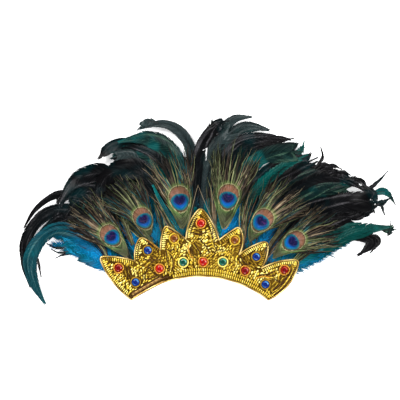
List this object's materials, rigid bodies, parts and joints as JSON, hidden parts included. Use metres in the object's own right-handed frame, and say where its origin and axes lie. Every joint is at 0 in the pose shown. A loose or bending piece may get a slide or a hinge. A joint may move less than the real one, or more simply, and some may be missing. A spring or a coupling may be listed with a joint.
{
  "type": "carnival feather headdress",
  "caption": "Gold embroidered crown with coloured stones, black and teal cock tail feathers and peacock eye feathers, lying face up",
  "frame": {"origin": "On the flat back face of the crown, on its centre line, 22 mm above the middle of the brow edge. The headdress lies on its back on the floor at z = 0.", "axes": "+Z out of the crown's front, +Y from the concave brow edge to the feather tips, +X to the right of someone who looks at the front. Metres."},
  "size_m": [0.577, 0.2896, 0.0349],
  "materials": {
    "gold_lame": "stiffened gold metallic cloth, worked over with bullion and sequins",
    "gold_cord": "twisted gold metallic cord",
    "stone_red": "polished cut red glass",
    "stone_amber": "polished cut amber glass",
    "stone_blue": "polished cut cobalt blue glass",
    "stone_green": "polished cut sea green glass",
    "coque_black": "glossy black cock tail feather with a green sheen",
    "coque_teal": "cock tail feather dyed dark teal blue",
    "peacock": "iridescent green and bronze peacock feather"
  },
  "bodies": {
    "root": {"crown_panel": "gold_lame", "edge_cord": "gold_cord", "stone_band_centre": "stone_red", "ring_band_centre": "gold_cord", "stone_band_left_1": "stone_green", "ring_band_left_1": "gold_cord", "stone_band_left_2": "stone_red", "ring_band_left_2": "gold_cord", "stone_band_right_1": "stone_green", "ring_band_right_1": "gold_cord", "stone_band_right_2": "stone_red", "ring_band_right_2": "gold_cord", "stone_corner_left": "stone_blue", "ring_corner_left": "gold_cord", "stone_corner_right": "stone_blue", "ring_corner_right": "gold_cord", "stone_horn_left": "stone_red", "ring_horn_left": "gold_cord", "stone_horn_right": "stone_red", "ring_horn_right": "gold_cord", "stone_peak_centre": "stone_red", "ring_peak_centre": "gold_cord", "stone_peak_left_1": "stone_amber", "ring_peak_left_1": "gold_cord", "stone_peak_left_2": "stone_blue", "ring_peak_left_2": "gold_cord", "stone_peak_right_1": "stone_amber", "ring_peak_right_1": "gold_cord", "stone_peak_right_2": "stone_blue", "ring_peak_right_2": "gold_cord", "coque_left_1": "coque_teal", "coque_left_2": "coque_black", "coque_left_3": "coque_black", "coque_left_4": "coque_black", "coque_left_5": "coque_black", "coque_left_6": "coque_black", "coque_left_7": "coque_black", "coque_left_8": "coque_black", "coque_left_9": "coque_black", "coque_mid_1": "coque_black", "coque_mid_2": "coque_black", "coque_mid_3": "coque_teal", "coque_mid_4": "coque_black", "coque_mid_5": "coque_black", "coque_right_1": "coque_black", "coque_right_2": "coque_teal", "coque_right_3": "coque_black", "coque_right_4": "coque_black", "coque_right_5": "coque_teal", "coque_right_6": "coque_black", "coque_right_7": "coque_black", "coque_right_8": "coque_teal", "peacock_left_1": "peacock", "peacock_left_2": "peacock", "peacock_left_3": "peacock", "peacock_right_1": "peacock", "peacock_right_2": "peacock", "peacock_right_3": "peacock"}
  },
  "joints": []
}
